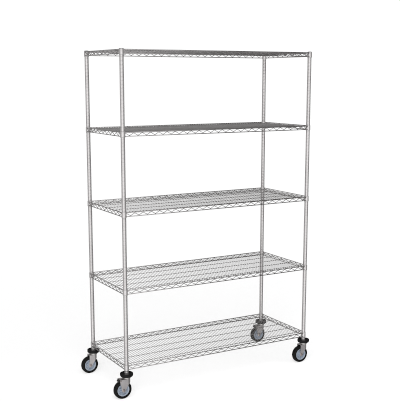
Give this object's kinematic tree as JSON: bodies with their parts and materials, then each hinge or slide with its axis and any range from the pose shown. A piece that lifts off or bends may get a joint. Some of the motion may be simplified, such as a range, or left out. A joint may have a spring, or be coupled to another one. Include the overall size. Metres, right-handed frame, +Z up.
{
  "type": "wire shelving rack",
  "caption": "Mobile open wire shelving rack: round grooved posts carry trussed wire shelves on wedge sleeves, and swivel casters with ring bumpers, some with foot brakes, let it roll.",
  "frame": {"origin": "on the floor plane, midway between the four post axes", "axes": "+X along the long side, to the right seen from the front; +Y from the front to the back; +Z up"},
  "size_m": [1.63, 0.667, 2.3352],
  "materials": {
    "post_chrome": "bright plated, slightly satin",
    "wire_chrome": "bright plated wire",
    "grey_plastic": "moulded",
    "bumper_rubber": "soft satin",
    "tyre_rubber": "satin",
    "zinc_steel": "zinc plated pressing",
    "bearing_steel": "polished",
    "fastener_steel": "dull plated",
    "hub_plastic": "moulded",
    "brake_steel": "plated pressing"
  },
  "bodies": {
    "rack": {"post_front_left": "post_chrome", "post_front_right": "post_chrome", "post_back_left": "post_chrome", "post_back_right": "post_chrome", "post_caps": "grey_plastic", "shelf_1_frame": "wire_chrome", "shelf_1_deck": "wire_chrome", "shelf_1_sleeves": "grey_plastic", "shelf_2_frame": "wire_chrome", "shelf_2_deck": "wire_chrome", "shelf_2_sleeves": "grey_plastic", "shelf_3_frame": "wire_chrome", "shelf_3_deck": "wire_chrome", "shelf_3_sleeves": "grey_plastic", "shelf_4_frame": "wire_chrome", "shelf_4_deck": "wire_chrome", "shelf_4_sleeves": "grey_plastic", "shelf_5_frame": "wire_chrome", "shelf_5_deck": "wire_chrome", "shelf_5_sleeves": "grey_plastic", "bumper_front_left": "bumper_rubber", "bumper_front_right": "bumper_rubber", "bumper_back_left": "bumper_rubber", "bumper_back_right": "bumper_rubber", "caster_front_left_stem": "zinc_steel", "caster_front_right_stem": "zinc_steel", "caster_back_left_stem": "zinc_steel", "caster_back_right_stem": "zinc_steel"},
    "fork_front_left": {"caster_front_left_fork": "zinc_steel", "caster_front_left_balls": "bearing_steel", "caster_front_left_axle": "fastener_steel", "caster_front_left_bushing": "zinc_steel", "caster_front_left_brake_pin": "fastener_steel"},
    "wheel_front_left": {"caster_front_left_hub": "hub_plastic", "caster_front_left_tyre": "tyre_rubber"},
    "brake_front_left": {"caster_front_left_brake_pedal": "brake_steel", "caster_front_left_brake_shoe": "bumper_rubber"},
    "fork_front_right": {"caster_front_right_fork": "zinc_steel", "caster_front_right_balls": "bearing_steel", "caster_front_right_axle": "fastener_steel", "caster_front_right_bushing": "zinc_steel"},
    "wheel_front_right": {"caster_front_right_hub": "hub_plastic", "caster_front_right_tyre": "tyre_rubber"},
    "fork_back_left": {"caster_back_left_fork": "zinc_steel", "caster_back_left_balls": "bearing_steel", "caster_back_left_axle": "fastener_steel", "caster_back_left_bushing": "zinc_steel"},
    "wheel_back_left": {"caster_back_left_hub": "hub_plastic", "caster_back_left_tyre": "tyre_rubber"},
    "fork_back_right": {"caster_back_right_fork": "zinc_steel", "caster_back_right_balls": "bearing_steel", "caster_back_right_axle": "fastener_steel", "caster_back_right_bushing": "zinc_steel", "caster_back_right_brake_pin": "fastener_steel"},
    "wheel_back_right": {"caster_back_right_hub": "hub_plastic", "caster_back_right_tyre": "tyre_rubber"},
    "brake_back_right": {"caster_back_right_brake_pedal": "brake_steel", "caster_back_right_brake_shoe": "bumper_rubber"}
  },
  "joints": [
    {"name": "swivel_front_left", "type": "hinge", "parent": "rack", "child": "fork_front_left", "pos_m": [-0.745, -0.289, 0.144], "axis": [0, 0, 1], "continuous": true},
    {"name": "roll_front_left", "type": "hinge", "parent": "fork_front_left", "child": "wheel_front_left", "pos_m": [-0.777, -0.289, 0.0635], "axis": [0, 1, 0], "continuous": true},
    {"name": "brake_front_left_press", "type": "hinge", "parent": "fork_front_left", "child": "brake_front_left", "pos_m": [-0.797, -0.289, 0.132], "axis": [0, -1, 0], "range_deg": [0, 10], "stiffness_Nm_per_rad": 0.5},
    {"name": "swivel_front_right", "type": "hinge", "parent": "rack", "child": "fork_front_right", "pos_m": [0.745, -0.289, 0.144], "axis": [0, 0, 1], "continuous": true},
    {"name": "roll_front_right", "type": "hinge", "parent": "fork_front_right", "child": "wheel_front_right", "pos_m": [0.713, -0.289, 0.0635], "axis": [0, 1, 0], "continuous": true},
    {"name": "swivel_back_left", "type": "hinge", "parent": "rack", "child": "fork_back_left", "pos_m": [-0.745, 0.289, 0.144], "axis": [0, 0, 1], "continuous": true},
    {"name": "roll_back_left", "type": "hinge", "parent": "fork_back_left", "child": "wheel_back_left", "pos_m": [-0.777, 0.289, 0.0635], "axis": [0, 1, 0], "continuous": true},
    {"name": "swivel_back_right", "type": "hinge", "parent": "rack", "child": "fork_back_right", "pos_m": [0.745, 0.289, 0.144], "axis": [0, 0, 1], "continuous": true},
    {"name": "roll_back_right", "type": "hinge", "parent": "fork_back_right", "child": "wheel_back_right", "pos_m": [0.713, 0.289, 0.0635], "axis": [0, 1, 0], "continuous": true},
    {"name": "brake_back_right_press", "type": "hinge", "parent": "fork_back_right", "child": "brake_back_right", "pos_m": [0.693, 0.289, 0.132], "axis": [0, -1, 0], "range_deg": [0, 10], "stiffness_Nm_per_rad": 0.5}
  ]
}
